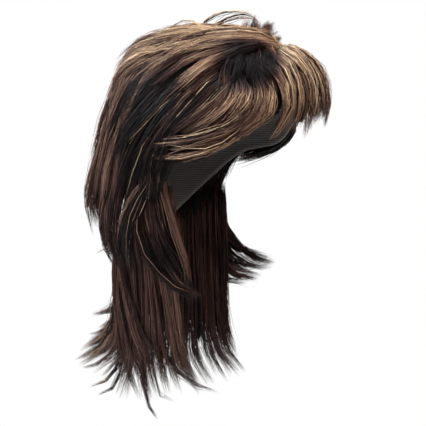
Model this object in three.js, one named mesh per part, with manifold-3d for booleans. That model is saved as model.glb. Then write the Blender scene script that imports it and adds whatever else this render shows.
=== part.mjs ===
// A worn shag-cut mullet wig: a knitted cap with layered locks of hair, as it hangs when it is held up by a head.
// Millimetres, +Z up. The face looks to -Y, the head's right is -X. The origin is mid-way between the ear holes.
import * as THREE from "three";
import { mergeVertices } from "three/addons/utils/BufferGeometryUtils.js";
import Module from "manifold-3d";

// The cap's outer form is an ellipsoid that the head fills.
const HEAD_HALF_WIDTH = 78;
const HEAD_HALF_LENGTH = 103;
const HEAD_HALF_HEIGHT = 104;
const HEAD_CENTRE_BACK = -5;
const HEAD_CENTRE_UP = 36;
const CAP_WALL = 2;
const CAP_COLUMNS = 20;
const CAP_ROWS = 6;

// Hair sizes. A lock is a flattened, tapered bundle; a weft is the strip that its roots are sewn on.
const LOCK_THICKNESS = 11;
const LOCK_MIN_WIDTH = 5;
const TUFT_WIDTH = 13;
const LOCK_OVERLAP = 1.35;
const LAYER_STEP = 2.4;
const WEFT_HEIGHT = 9;
const WEFT_THICKNESS = 4;
const WEFT_STEP = 26;
const PIECE_GAP = 0.45;
const MERGE_TOLERANCE = 0.2;

const GOLDEN_SHARE = 0.618034;

// The cap's rim: its height at each turn from the face (0 is the front, 180 the nape), as a share of the half height.
const CAP_RIM = [
  { turn: 0, up: 0.6 },
  { turn: 45, up: 0.45 },
  { turn: 70, up: 0.08 },
  { turn: 90, up: 0.18 },
  { turn: 115, up: -0.25 },
  { turn: 145, up: -0.6 },
  { turn: 180, up: -0.72 },
];

// One lock from root to tip: its width and thickness at each share of its length.
const LOCK_RINGS = [
  { along: 0, width: 0.95, thickness: 0.6 },
  { along: 0.2, width: 1, thickness: 1 },
  { along: 0.48, width: 1, thickness: 0.95 },
  { along: 0.78, width: 0.85, thickness: 0.7 },
  { along: 1, width: 0.12, thickness: 0.14 },
];

// The section of a lock, going round it, as shares of its half width and half thickness.
const LOCK_SECTION = [
  { across: -1, outward: -0.1 },
  { across: 0.1, outward: -0.8 },
  { across: 1, outward: -0.1 },
  { across: -0.1, outward: 1 },
];

// Guide locks. A row is one lock, and its columns are the stations root, rise, crest, fall and tip. A station is
// [turn, up, out]: turn is degrees from the face (minus is the head's right), up is a share of the head's half
// height above its centre, and out is a share of its half width or length away from its axis.
const FRINGE_RIGHT = [
  [[-61, 0.79, 0.61], [-61, 0.86, 0.91], [-57, 0.66, 1.13], [-65, 0.42, 1.17], [-83, 0.24, 1.14]],
  [[-50, 0.82, 0.58], [-49, 0.94, 0.87], [-44, 0.72, 1.11], [-47, 0.44, 1.16], [-64, 0.23, 1.13]],
  [[-38, 0.84, 0.55], [-38, 1.02, 0.83], [-34, 0.85, 1.07], [-33, 0.54, 1.15], [-43, 0.26, 1.12]],
  [[-24, 0.86, 0.52], [-24, 1.09, 0.78], [-22, 0.94, 1.03], [-21, 0.63, 1.14], [-26, 0.28, 1.12]],
  [[-9, 0.88, 0.5], [-9, 1.14, 0.75], [-8, 0.98, 1], [-7, 0.7, 1.13], [-10, 0.3, 1.12]],
];
const TEMPLE_RIGHT = [
  [[-62, 0.72, 0.69], [-65, 0.81, 0.96], [-75, 0.6, 1.14], [-93, 0.36, 1.19], [-114, 0.1, 1.18]],
  [[-60, 0.62, 0.78], [-61, 0.68, 1.02], [-68, 0.46, 1.15], [-84, 0.26, 1.17], [-108, 0.12, 1.15]],
  [[-58, 0.5, 0.86], [-59, 0.52, 1.07], [-66, 0.31, 1.15], [-81, 0.14, 1.15], [-106, 0.06, 1.12]],
  [[-56, 0.4, 0.92], [-57, 0.38, 1.06], [-64, 0.2, 1.12], [-80, 0.03, 1.12], [-102, -0.02, 1.09]],
];
const SIDE_RIGHT = [
  [[-46, 0.9, 0.43], [-60, 1.17, 0.62], [-106, 1.04, 0.82], [-132, 0.66, 1.14], [-146, 0.05, 1.32]],
  [[-45, 0.9, 0.42], [-60, 1.12, 0.7], [-98, 0.85, 1.02], [-122, 0.35, 1.24], [-140, -0.25, 1.32]],
  [[-55, 0.84, 0.54], [-68, 1, 0.84], [-95, 0.68, 1.12], [-114, 0.2, 1.24], [-128, -0.35, 1.28]],
  [[-65, 0.76, 0.65], [-74, 0.86, 0.95], [-94, 0.5, 1.17], [-108, 0.08, 1.22], [-118, -0.45, 1.2]],
  [[-75, 0.62, 0.78], [-80, 0.66, 1.03], [-94, 0.3, 1.17], [-104, -0.05, 1.17], [-112, -0.5, 1.12]],
  [[-84, 0.42, 0.9], [-87, 0.42, 1.06], [-96, 0.14, 1.15], [-104, -0.18, 1.14], [-110, -0.5, 1.08]],
];
const CROWN_RIGHT = [
  [[-53, 0.87, 0.5], [-63, 1.12, 0.64], [-108, 1.08, 0.75], [-134, 0.78, 1.05], [-147, 0.28, 1.22]],
  [[-50, 0.88, 0.47], [-58, 1.17, 0.58], [-110, 1.16, 0.62], [-140, 0.95, 1.02], [-150, 0.48, 1.18]],
  [[-25, 0.9, 0.43], [-25, 1.25, 0.38], [-155, 1.27, 0.44], [-165, 1.11, 0.93], [-170, 0.7, 1.13]],
];
const CROWN_MIDDLE = [
  [[0, 0.92, 0.38], [0, 1.28, 0.3], [180, 1.3, 0.38], [180, 1.18, 0.9], [180, 0.8, 1.13]],
];
const CROWN_TUFTS = [
  [[14, 0.92, 0.3], [17, 1.14, 0.32], [16, 1.28, 0.35], [14, 1.38, 0.38], [10, 1.44, 0.4]],
  [[28, 0.9, 0.36], [28, 1.12, 0.4], [26, 1.26, 0.45], [23, 1.36, 0.5], [20, 1.42, 0.56]],
  [[42, 0.88, 0.42], [38, 1.06, 0.5], [33, 1.16, 0.57], [30, 1.22, 0.63], [27, 1.27, 0.69]],
];
const UPPER_BACK_RIGHT = [
  [[-115, 0.8, 0.6], [-118, 0.93, 0.9], [-124, 0.5, 1.14], [-130, 0, 1.25], [-135, -0.5, 1.3]],
  [[-140, 0.85, 0.52], [-145, 1.03, 0.88], [-150, 0.63, 1.12], [-152, 0.1, 1.27], [-155, -0.42, 1.37]],
];
const UPPER_BACK_MIDDLE = [
  [[180, 0.93, 0.37], [180, 1.1, 0.87], [180, 0.68, 1.12], [180, 0.16, 1.28], [180, -0.38, 1.41]],
];
const OVER_EAR_RIGHT = [
  [[-92, 0.15, 0.98], [-98, 0.12, 1.1], [-112, -0.2, 1.2], [-128, -0.55, 1.26], [-142, -0.95, 1.22]],
  [[-100, 0.05, 1], [-104, -0.02, 1.1], [-115, -0.4, 1.17], [-128, -0.85, 1.18], [-135, -1.3, 1.05]],
];
const MID_BACK_RIGHT = [
  [[-120, 0.3, 0.95], [-120, 0.1, 1.03], [-122, -0.35, 1.12], [-124, -0.8, 1.13], [-128, -1.25, 1]],
  [[-150, 0.35, 0.94], [-150, 0.15, 1.04], [-150, -0.3, 1.18], [-148, -0.75, 1.24], [-145, -1.15, 1.08]],
];
const MID_BACK_MIDDLE = [
  [[180, 0.35, 0.94], [180, 0.15, 1.06], [180, -0.3, 1.24], [180, -0.7, 1.32], [180, -1.1, 1.12]],
];
const NECK_CURL_RIGHT = [
  [[-104, 0.1, 0.98], [-106, -0.2, 1.06], [-97, -0.68, 1.02], [-90, -1.08, 0.96], [-97, -1.38, 0.93]],
  [[-120, 0, 1], [-124, -0.4, 1.12], [-122, -0.9, 1.1], [-106, -1.28, 1], [-78, -1.36, 0.98]],
];
const NECK_CURL_LEFT = [
  [[108, 0.1, 0.98], [110, -0.2, 1.05], [104, -0.6, 1.02], [90, -0.92, 0.98], [66, -1.08, 0.98]],
  [[120, 0, 1], [124, -0.4, 1.12], [122, -0.9, 1.1], [108, -1.28, 1], [84, -1.34, 0.96]],
];
const TAIL_BACK_RIGHT = [
  [[-150, -0.35, 0.94], [-150, -0.8, 1.04], [-152, -1.4, 1.06], [-156, -1.88, 1.14], [-160, -2.15, 1.54]],
];
const TAIL_BACK_MIDDLE = [
  [[180, -0.35, 0.94], [180, -0.8, 1], [180, -1.35, 1.06], [180, -1.72, 1.2], [180, -1.93, 1.55]],
];
const TAIL_FLICKS = [
  [[-172, -0.4, 0.92], [-172, -0.8, 1.03], [-173, -1.3, 1.07], [-176, -1.54, 1.17], [-178, -1.62, 1.43]],
  [[172, -0.4, 0.92], [172, -0.8, 1.03], [173, -1.35, 1.08], [174, -1.64, 1.2], [176, -1.77, 1.44]],
];
const TAIL_SIDE_RIGHT = [
  [[-104, -0.2, 0.97], [-103, -0.7, 0.95], [-103, -1.25, 0.86], [-101, -1.72, 0.82], [-96, -2.02, 0.85]],
  [[-112, -0.25, 0.96], [-112, -0.8, 0.97], [-110, -1.45, 0.84], [-103, -2, 0.82], [-84, -2.3, 0.9]],
  [[-120, -0.3, 0.95], [-119, -0.8, 0.98], [-118, -1.4, 0.9], [-116, -1.9, 0.87], [-103, -2.36, 0.97]],
  [[-130, -0.35, 0.93], [-130, -0.85, 0.98], [-130, -1.5, 0.93], [-131, -2.08, 0.98], [-114, -2.55, 1.06]],
  [[-145, -0.4, 0.92], [-145, -0.9, 0.98], [-146, -1.5, 0.98], [-148, -2, 1.04], [-152, -2.34, 1.3]],
];

const HAIR_DARK = { color: 0x1c1413, roughness: 0.42, metalness: 0 };
const HAIR_BROWN = { color: 0x33211d, roughness: 0.4, metalness: 0 };
const HAIR_GOLD = { color: 0x6e4a30, roughness: 0.38, metalness: 0 };
const CAP_KNIT = { color: 0x15100f, roughness: 0.85, metalness: 0 };

const wasm = await Module();
wasm.setup();

const radians = (degrees) => (degrees * Math.PI) / 180;

// A station of a guide as a point in the part's frame.
function pointAt([turn, up, out]) {
  return new THREE.Vector3(
    out * HEAD_HALF_WIDTH * Math.sin(radians(turn)),
    HEAD_CENTRE_BACK - out * HEAD_HALF_LENGTH * Math.cos(radians(turn)),
    HEAD_CENTRE_UP + up * HEAD_HALF_HEIGHT,
  );
}

// The other side of the head, with its guides in going-round order.
function mirrored(guides) {
  return guides.map((guide) => guide.map(([turn, up, out]) => [-turn, up, out])).reverse();
}

function bothSides(right, middle = []) {
  return [...right, ...middle, ...mirrored(right)];
}

function geometryFrom(positions, triangles) {
  const geometry = new THREE.BufferGeometry();
  geometry.setAttribute("position", new THREE.Float32BufferAttribute(positions, 3));
  geometry.setIndex(triangles);
  return geometry;
}

function solidFrom(geometry) {
  const merged = mergeVertices(geometry, 1e-4);
  const mesh = new wasm.Mesh({
    numProp: 3,
    vertProperties: new Float32Array(merged.attributes.position.array),
    triVerts: new Uint32Array(merged.index.array),
  });
  return new wasm.Manifold(mesh);
}

// A closed skin over rings of equal count, with flat ends.
function loft(rings) {
  const positions = [];
  const triangles = [];
  const count = rings[0].length;
  rings.forEach((ring) => ring.forEach((point) => positions.push(point.x, point.y, point.z)));
  for (let ring = 0; ring < rings.length - 1; ring += 1) {
    for (let side = 0; side < count; side += 1) {
      const here = ring * count + side;
      const next = ring * count + ((side + 1) % count);
      triangles.push(here, next, next + count, here, next + count, here + count);
    }
  }
  const last = (rings.length - 1) * count;
  for (let side = 1; side < count - 1; side += 1) {
    triangles.push(0, side + 1, side, last, last + side, last + side + 1);
  }
  return solidFrom(geometryFrom(positions, triangles));
}

// The rim's height share at a turn, eased between the rows of the table.
function rimUp(turn) {
  const around = Math.abs(turn);
  const next = Math.max(1, CAP_RIM.findIndex((row) => row.turn >= around));
  const low = CAP_RIM[next - 1];
  const high = CAP_RIM[next];
  const share = THREE.MathUtils.smoothstep(around, low.turn, high.turn);
  return THREE.MathUtils.lerp(low.up, high.up, share);
}

// A point of the cap's form at a turn and a height angle, drawn in by inset.
function capPoint(turn, angle, inset) {
  return new THREE.Vector3(
    (HEAD_HALF_WIDTH - inset) * Math.cos(angle) * Math.sin(radians(turn)),
    HEAD_CENTRE_BACK - (HEAD_HALF_LENGTH - inset) * Math.cos(angle) * Math.cos(radians(turn)),
    HEAD_CENTRE_UP + (HEAD_HALF_HEIGHT - inset) * Math.sin(angle),
  );
}

// The cap is a shell of even wall, open below its rim.
function makeCap() {
  const positions = [];
  const triangles = [];
  const skins = [0, CAP_WALL];
  skins.forEach((inset) => {
    for (let row = 0; row < CAP_ROWS; row += 1) {
      for (let column = 0; column < CAP_COLUMNS; column += 1) {
        const turn = (360 * column) / CAP_COLUMNS - 180;
        const rim = Math.asin(rimUp(turn));
        const angle = THREE.MathUtils.lerp(rim, Math.PI / 2, row / CAP_ROWS);
        positions.push(...capPoint(turn, angle, inset).toArray());
      }
    }
    positions.push(...capPoint(0, Math.PI / 2, inset).toArray());
  });
  const skinSize = CAP_ROWS * CAP_COLUMNS + 1;
  const face = (skin, a, b, c) => {
    const base = skin * skinSize;
    triangles.push(base + a, base + (skin ? c : b), base + (skin ? b : c));
  };
  skins.forEach((inset, skin) => {
    for (let column = 0; column < CAP_COLUMNS; column += 1) {
      const beside = (column + 1) % CAP_COLUMNS;
      for (let row = 0; row < CAP_ROWS - 1; row += 1) {
        const low = row * CAP_COLUMNS;
        const high = low + CAP_COLUMNS;
        face(skin, low + column, low + beside, high + beside);
        face(skin, low + column, high + beside, high + column);
      }
      const top = (CAP_ROWS - 1) * CAP_COLUMNS;
      face(skin, top + column, top + beside, skinSize - 1);
    }
  });
  for (let column = 0; column < CAP_COLUMNS; column += 1) {
    const beside = (column + 1) % CAP_COLUMNS;
    triangles.push(column, skinSize + column, skinSize + beside, column, skinSize + beside, beside);
  }
  return solidFrom(geometryFrom(positions, triangles));
}

// The head's whole form, grown by the gap, which the hair keeps clear of.
function makeHeadForm() {
  const form = new THREE.SphereGeometry(1, 28, 16);
  form.deleteAttribute("normal");
  form.deleteAttribute("uv");
  form.rotateX(Math.PI / 2);
  const grown = 1 + (3 * PIECE_GAP) / HEAD_HALF_WIDTH;
  form.scale(HEAD_HALF_WIDTH * grown, HEAD_HALF_LENGTH * grown, HEAD_HALF_HEIGHT * grown);
  form.translate(0, HEAD_CENTRE_BACK, HEAD_CENTRE_UP);
  return solidFrom(form);
}

// The five stations of the lock at a place between two neighbouring guides, turning the short way round.
function stationsBetween(guides, place) {
  const low = Math.min(Math.floor(place), guides.length - 2);
  const share = place - low;
  return guides[low].map(([turn, up, out], index) => {
    const [nextTurn, nextUp, nextOut] = guides[low + 1][index];
    const turnStep = ((nextTurn - turn + 540) % 360) - 180;
    return pointAt([turn + share * turnStep, up + share * (nextUp - up), out + share * (nextOut - out)]);
  });
}

// A frame that turns with the path and faces away from the head at the crest.
function framesAlong(curve, shares) {
  const tangents = shares.map((share) => curve.getTangentAt(share));
  const crest = shares.findIndex((share) => share >= 0.4);
  const axisPoint = new THREE.Vector3(0, HEAD_CENTRE_BACK, Math.max(HEAD_CENTRE_UP * 0.5, 0));
  const crestPoint = curve.getPointAt(shares[crest]);
  const away = crestPoint.clone().sub(axisPoint);
  if (crestPoint.z < axisPoint.z) away.z = 0;
  const outward = shares.map(() => new THREE.Vector3());
  outward[crest].copy(away).addScaledVector(tangents[crest], -away.dot(tangents[crest])).normalize();
  const carry = (from, to) => {
    const turn = new THREE.Quaternion().setFromUnitVectors(tangents[from], tangents[to]);
    outward[to].copy(outward[from]).applyQuaternion(turn);
  };
  for (let index = crest; index < shares.length - 1; index += 1) carry(index, index + 1);
  for (let index = crest; index > 0; index -= 1) carry(index, index - 1);
  return shares.map((share, index) => ({
    point: curve.getPointAt(share),
    outward: outward[index],
    across: new THREE.Vector3().crossVectors(outward[index], tangents[index]).normalize(),
  }));
}

// One lock: a loft of flattened sections. Its width follows the space to its neighbours, from the least up.
function makeLock(guides, place, spacing, order, { bulk = 1, fill = 1, least = LOCK_MIN_WIDTH }, grow) {
  const layer = ((order * GOLDEN_SHARE) % 1) - 0.5;
  const curve = new THREE.CatmullRomCurve3(stationsBetween(guides, place), false, "catmullrom", 0.5);
  const reach = guides.length - 1;
  const before = new THREE.CatmullRomCurve3(stationsBetween(guides, Math.max(place - spacing, 0)), false,
    "catmullrom", 0.5);
  const after = new THREE.CatmullRomCurve3(stationsBetween(guides, Math.min(place + spacing, reach)), false,
    "catmullrom", 0.5);
  const covered = (Math.min(place + spacing, reach) - Math.max(place - spacing, 0)) / spacing;
  const frames = framesAlong(curve, LOCK_RINGS.map((ring) => ring.along));
  const rings = LOCK_RINGS.map((ring, index) => {
    const room = before.getPointAt(ring.along).distanceTo(after.getPointAt(ring.along)) / covered;
    const halfWidth = 0.5 * Math.max(room * LOCK_OVERLAP, least) * ring.width + 1.6 * grow;
    const halfThickness = 0.5 * LOCK_THICKNESS * bulk * ring.thickness + 1.1 * grow;
    const { point, outward, across } = frames[index];
    const centre = point.clone().addScaledVector(outward, layer * LAYER_STEP * ring.thickness);
    return LOCK_SECTION.map((corner) => centre.clone()
      .addScaledVector(across, corner.across * halfWidth)
      .addScaledVector(outward, corner.outward * halfThickness * (corner.outward < -0.5 ? fill : 1)));
  });
  if (grow > 0) {
    const ends = [[rings[0], frames[0].point, rings[1]], [rings.at(-1), frames.at(-1).point, rings.at(-2)]];
    ends.forEach(([ring, point, inner]) => {
      const back = point.clone().sub(inner[0].clone().add(inner[2]).multiplyScalar(0.5)).setLength(grow);
      ring.forEach((corner) => corner.add(back));
    });
  }
  return loft(rings);
}

// The strip along the roots that joins a piece's locks.
function makeWeft(guides, grow) {
  const reach = guides.length - 1;
  const roots = guides.map((guide) => pointAt(guide[0]));
  const length = roots.slice(1).reduce((sum, root, index) => sum + root.distanceTo(roots[index]), 0);
  const steps = Math.max(Math.ceil(length / WEFT_STEP), 2);
  const rings = [];
  for (let step = 0; step <= steps; step += 1) {
    const stations = stationsBetween(guides, (step / steps) * reach);
    const root = stations[0];
    const outward = new THREE.Vector3(
      root.x / HEAD_HALF_WIDTH ** 2,
      (root.y - HEAD_CENTRE_BACK) / HEAD_HALF_LENGTH ** 2,
      (root.z - HEAD_CENTRE_UP) / HEAD_HALF_HEIGHT ** 2,
    ).normalize();
    rings.push({ root, outward });
  }
  const sections = rings.map(({ root, outward }, index) => {
    const ahead = rings[Math.min(index + 1, steps)].root;
    const behind = rings[Math.max(index - 1, 0)].root;
    const along = ahead.clone().sub(behind).normalize();
    const upward = new THREE.Vector3().crossVectors(outward, along).normalize();
    const out = WEFT_THICKNESS + grow;
    const half = 0.5 * WEFT_HEIGHT + grow;
    return [[-half, -WEFT_THICKNESS], [half, -WEFT_THICKNESS], [half, out], [-half, out]].map(([up, away]) =>
      root.clone().addScaledVector(upward, up).addScaledVector(outward, away));
  });
  return loft(sections);
}

// A piece of hair: its weft and locks fused into one solid. Bulk thickens its locks, and fill deepens them inward.
function makeHair(piece, grow) {
  const { guides, locks } = piece;
  const reach = guides.length - 1;
  const spacing = reach / locks;
  const solids = [makeWeft(guides, grow)];
  for (let order = 0; order < locks; order += 1) {
    solids.push(makeLock(guides, (order + 0.5) * spacing, spacing, order, piece, grow));
  }
  (piece.extra ?? []).forEach((guide, order) => {
    solids.push(makeLock([guide, guide], 0.5, 0.5, order, { least: piece.extraWidth }, grow));
  });
  return wasm.Manifold.union(solids);
}

function largestBody(solid) {
  return solid.decompose().sort((first, second) => second.volume() - first.volume())[0];
}

// The pieces from the outside in: each one is cut back from those before it by the gap.
const HAIR_PIECES = [
  { name: "crown", guides: bothSides(CROWN_RIGHT, CROWN_MIDDLE), locks: 7, extra: CROWN_TUFTS,
    extraWidth: TUFT_WIDTH, fill: 3, look: HAIR_BROWN },
  { name: "fringe", guides: bothSides(FRINGE_RIGHT), locks: 11, bulk: 0.9, look: HAIR_GOLD },
  { name: "temple_right", guides: TEMPLE_RIGHT, locks: 4, bulk: 0.8, look: HAIR_GOLD },
  { name: "temple_left", guides: mirrored(TEMPLE_RIGHT), locks: 4, bulk: 0.8, look: HAIR_GOLD },
  { name: "side_right", guides: SIDE_RIGHT, locks: 5, fill: 1.8, look: HAIR_BROWN },
  { name: "side_left", guides: mirrored(SIDE_RIGHT), locks: 5, fill: 1.8, look: HAIR_BROWN },
  { name: "upper_back", guides: bothSides(UPPER_BACK_RIGHT, UPPER_BACK_MIDDLE), locks: 5, fill: 1.6,
    look: HAIR_BROWN },
  { name: "over_ear_right", guides: OVER_EAR_RIGHT, locks: 3, look: HAIR_BROWN },
  { name: "over_ear_left", guides: mirrored(OVER_EAR_RIGHT), locks: 3, look: HAIR_BROWN },
  { name: "mid_back", guides: bothSides(MID_BACK_RIGHT, MID_BACK_MIDDLE), locks: 6, look: HAIR_DARK },
  { name: "neck_curl_right", guides: NECK_CURL_RIGHT, locks: 3, bulk: 0.85, look: HAIR_DARK },
  { name: "neck_curl_left", guides: [...NECK_CURL_LEFT].reverse(), locks: 3, bulk: 0.85, look: HAIR_DARK },
  { name: "tail_back", guides: bothSides(TAIL_BACK_RIGHT, TAIL_BACK_MIDDLE), locks: 4, extra: TAIL_FLICKS,
    bulk: 1.2, look: HAIR_DARK },
  { name: "tail_right", guides: TAIL_SIDE_RIGHT, locks: 6, bulk: 1.2, look: HAIR_DARK },
  { name: "tail_left", guides: mirrored(TAIL_SIDE_RIGHT), locks: 6, bulk: 1.2, look: HAIR_DARK },
];

const group = new THREE.Group();

function addMesh(name, solid, look) {
  const { vertProperties, triVerts } = solid.getMesh();
  const geometry = geometryFrom(Array.from(vertProperties), Array.from(triVerts));
  geometry.computeVertexNormals();
  const mesh = new THREE.Mesh(geometry, new THREE.MeshStandardMaterial(look));
  mesh.name = name;
  group.add(mesh);
}

addMesh("cap", makeCap(), CAP_KNIT);

const headForm = makeHeadForm();
const placed = [];
HAIR_PIECES.forEach((piece) => {
  let solid = makeHair(piece, 0).subtract(headForm);
  placed.forEach((earlier) => {
    solid = solid.subtract(earlier);
  });
  solid = largestBody(largestBody(solid).simplify(MERGE_TOLERANCE));
  placed.push(makeHair(piece, PIECE_GAP));
  addMesh(piece.name, solid, piece.look);
});

export default group;
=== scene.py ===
# A brown shag-cut mullet wig, dressed over its fixed solids: a knitted cap with weft rows, and thousands of
# fine closed fibres laid along the same guide locks as the solids. Metres, +Z up, the face looks to -Y.
import math
import bpy
import numpy as np
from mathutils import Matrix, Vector


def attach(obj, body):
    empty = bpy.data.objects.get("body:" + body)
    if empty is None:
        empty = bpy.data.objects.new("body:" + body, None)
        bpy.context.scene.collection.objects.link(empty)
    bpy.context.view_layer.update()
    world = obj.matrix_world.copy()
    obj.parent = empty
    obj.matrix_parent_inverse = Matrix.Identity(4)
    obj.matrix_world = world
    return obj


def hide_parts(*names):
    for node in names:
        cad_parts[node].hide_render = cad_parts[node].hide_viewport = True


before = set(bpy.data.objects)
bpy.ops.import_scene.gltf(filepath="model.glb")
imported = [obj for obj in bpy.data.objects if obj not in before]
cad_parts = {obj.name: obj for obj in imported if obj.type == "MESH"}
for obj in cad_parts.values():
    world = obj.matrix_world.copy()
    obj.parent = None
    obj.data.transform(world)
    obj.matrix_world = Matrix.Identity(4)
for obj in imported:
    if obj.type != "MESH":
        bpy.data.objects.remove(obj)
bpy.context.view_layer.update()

MM = 0.001
# The cap's outer form and wall, a lock's thickness and the step between layers of locks, as in the solids.
HEAD_HALF = np.array([78.0, 103.0, 104.0]) * MM
HEAD_CENTRE = np.array([0.0, -5.0, 36.0]) * MM
CAP_WALL = 2.0 * MM
LOCK_THICKNESS = 11.0 * MM
LAYER_STEP = 2.4 * MM
GOLDEN_SHARE = 0.618034
SEED = 417
RNG = np.random.default_rng(SEED)
# The share of each tress's fibres that is made.
FIBRE_SHARE = 1.0
# Painted light: hair that faces this way, up and a little to the front, is painted lighter, as if lit from
# above.
PAINTED_LIGHT_WAY = np.array([-0.12, -0.4, 0.91])

# Guide locks: a row is one lock and its columns are root, rise, crest, fall and tip. A station is turn in
# degrees from the face (minus is the head's right), up as a share of the half height, and out as a share of
# the half width.
FRINGE_RIGHT = [
    [[-61, 0.79, 0.61], [-61, 0.86, 0.91], [-57, 0.66, 1.13], [-65, 0.42, 1.17], [-83, 0.24, 1.14]],
    [[-50, 0.82, 0.58], [-49, 0.94, 0.87], [-44, 0.72, 1.11], [-47, 0.44, 1.16], [-64, 0.23, 1.13]],
    [[-38, 0.84, 0.55], [-38, 1.02, 0.83], [-34, 0.85, 1.07], [-33, 0.54, 1.15], [-43, 0.26, 1.12]],
    [[-24, 0.86, 0.52], [-24, 1.09, 0.78], [-22, 0.94, 1.03], [-21, 0.63, 1.14], [-26, 0.28, 1.12]],
    [[-9, 0.88, 0.5], [-9, 1.14, 0.75], [-8, 0.98, 1], [-7, 0.7, 1.13], [-10, 0.3, 1.12]],
]
TEMPLE_RIGHT = [
    [[-62, 0.72, 0.69], [-65, 0.81, 0.96], [-75, 0.6, 1.14], [-93, 0.36, 1.19], [-114, 0.1, 1.18]],
    [[-60, 0.62, 0.78], [-61, 0.68, 1.02], [-68, 0.46, 1.15], [-84, 0.26, 1.17], [-108, 0.12, 1.15]],
    [[-58, 0.5, 0.86], [-59, 0.52, 1.07], [-66, 0.31, 1.15], [-81, 0.14, 1.15], [-106, 0.06, 1.12]],
    [[-56, 0.4, 0.92], [-57, 0.38, 1.06], [-64, 0.2, 1.12], [-80, 0.03, 1.12], [-102, -0.02, 1.09]],
]
SIDE_RIGHT = [
    [[-46, 0.9, 0.43], [-60, 1.17, 0.62], [-106, 1.04, 0.82], [-132, 0.66, 1.14], [-146, 0.05, 1.32]],
    [[-45, 0.9, 0.42], [-60, 1.12, 0.7], [-98, 0.85, 1.02], [-122, 0.35, 1.24], [-140, -0.25, 1.32]],
    [[-55, 0.84, 0.54], [-68, 1, 0.84], [-95, 0.68, 1.12], [-114, 0.2, 1.24], [-128, -0.35, 1.28]],
    [[-65, 0.76, 0.65], [-74, 0.86, 0.95], [-94, 0.5, 1.17], [-108, 0.08, 1.22], [-118, -0.45, 1.2]],
    [[-75, 0.62, 0.78], [-80, 0.66, 1.03], [-94, 0.3, 1.17], [-104, -0.05, 1.17], [-112, -0.5, 1.12]],
    [[-84, 0.42, 0.9], [-87, 0.42, 1.06], [-96, 0.14, 1.15], [-104, -0.18, 1.14], [-110, -0.5, 1.08]],
]
CROWN_RIGHT = [
    [[-53, 0.87, 0.5], [-63, 1.12, 0.64], [-108, 1.08, 0.75], [-134, 0.78, 1.05], [-147, 0.28, 1.22]],
    [[-50, 0.88, 0.47], [-58, 1.17, 0.58], [-110, 1.16, 0.62], [-140, 0.95, 1.02], [-150, 0.48, 1.18]],
    [[-25, 0.9, 0.43], [-25, 1.25, 0.38], [-155, 1.27, 0.44], [-165, 1.11, 0.93], [-170, 0.7, 1.13]],
]
CROWN_MIDDLE = [
    [[0, 0.92, 0.38], [0, 1.28, 0.3], [180, 1.3, 0.38], [180, 1.18, 0.9], [180, 0.8, 1.13]],
]
CROWN_TUFTS = [
    [[14, 0.92, 0.3], [17, 1.14, 0.32], [16, 1.28, 0.35], [14, 1.38, 0.38], [10, 1.44, 0.4]],
    [[28, 0.9, 0.36], [28, 1.12, 0.4], [26, 1.26, 0.45], [23, 1.36, 0.5], [20, 1.42, 0.56]],
    [[42, 0.88, 0.42], [38, 1.06, 0.5], [33, 1.16, 0.57], [30, 1.22, 0.63], [27, 1.27, 0.69]],
]
# Single guides that loose hair runs between, over the layers below. WHORL falls from the whorl over the roots
# in painted shade or rises to the tufts, SWEEP runs under the fringe to the temple, OVER from the temple over
# the ear, COVER from the front of the crown over the whorl to the back, and TUFT stands up at the whorl.
WHORL_BACK = [[-40, 0.9, 0.5], [-38, 1.07, 0.6], [-46, 1.05, 0.78], [-53, 0.92, 0.93], [-59, 0.7, 1.1]]
WHORL_SIDE = [[-60, 0.88, 0.5], [-61, 1.09, 0.6], [-65, 1.06, 0.79], [-70, 0.9, 0.98], [-74, 0.62, 1.13]]
WHORL_FRONT = [
    [-12, 0.95, 0.46], [-18, 1.12, 0.63], [-27, 1.09, 0.79], [-34, 0.97, 0.95], [-38, 0.76, 1.11],
]
WHORL_LOW = [[-48, 0.9, 0.42], [-40, 1.08, 0.48], [-28, 1.18, 0.52], [-14, 1.24, 0.6], [-2, 1.26, 0.68]]
WHORL_HIGH = [[-30, 0.92, 0.38], [-24, 1.14, 0.42], [-14, 1.25, 0.47], [-4, 1.31, 0.53], [4, 1.36, 0.58]]
SWEEP_HIGH = [[-56, 0.8, 0.6], [-55, 0.88, 0.91], [-54, 0.6, 1.13], [-68, 0.36, 1.18], [-98, 0.17, 1.19]]
SWEEP_LOW = [[-50, 0.82, 0.58], [-49, 0.92, 0.88], [-46, 0.56, 1.13], [-58, 0.29, 1.16], [-86, 0.12, 1.16]]
OVER_HIGH = [[-58, 0.6, 0.8], [-56, 0.62, 1.08], [-66, 0.42, 1.18], [-88, 0.26, 1.25], [-113, 0.18, 1.29]]
OVER_LOW = [[-56, 0.4, 0.92], [-57, 0.36, 1.08], [-66, 0.18, 1.16], [-86, 0.05, 1.2], [-110, 0.05, 1.24]]
COVER_LOW = [[-2, 0.98, 0.62], [-10, 1.12, 0.68], [-52, 1.16, 0.69], [-100, 1.06, 0.88], [-126, 0.74, 1.14]]
COVER_FALL = [[-8, 0.98, 0.62], [-18, 1.14, 0.7], [-49, 1.1, 0.8], [-78, 0.86, 1.04], [-99, 0.48, 1.21]]
COVER_HIGH = [[14, 1, 0.5], [8, 1.24, 0.54], [-52, 1.31, 0.43], [-104, 1.27, 0.53], [-132, 1.08, 0.9]]
TUFT_BACK = [[-14, 0.92, 0.26], [-10, 1.14, 0.22], [-6, 1.28, 0.18], [0, 1.36, 0.17], [6, 1.41, 0.22]]
TUFT_NEAR = [[-24, 0.88, 0.42], [-22, 1.08, 0.44], [-16, 1.22, 0.45], [-10, 1.31, 0.47], [-4, 1.36, 0.5]]
UPPER_BACK_RIGHT = [
    [[-115, 0.8, 0.6], [-118, 0.93, 0.9], [-124, 0.5, 1.14], [-130, 0, 1.25], [-135, -0.5, 1.3]],
    [[-140, 0.85, 0.52], [-145, 1.03, 0.88], [-150, 0.63, 1.12], [-152, 0.1, 1.27], [-155, -0.42, 1.37]],
]
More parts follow.
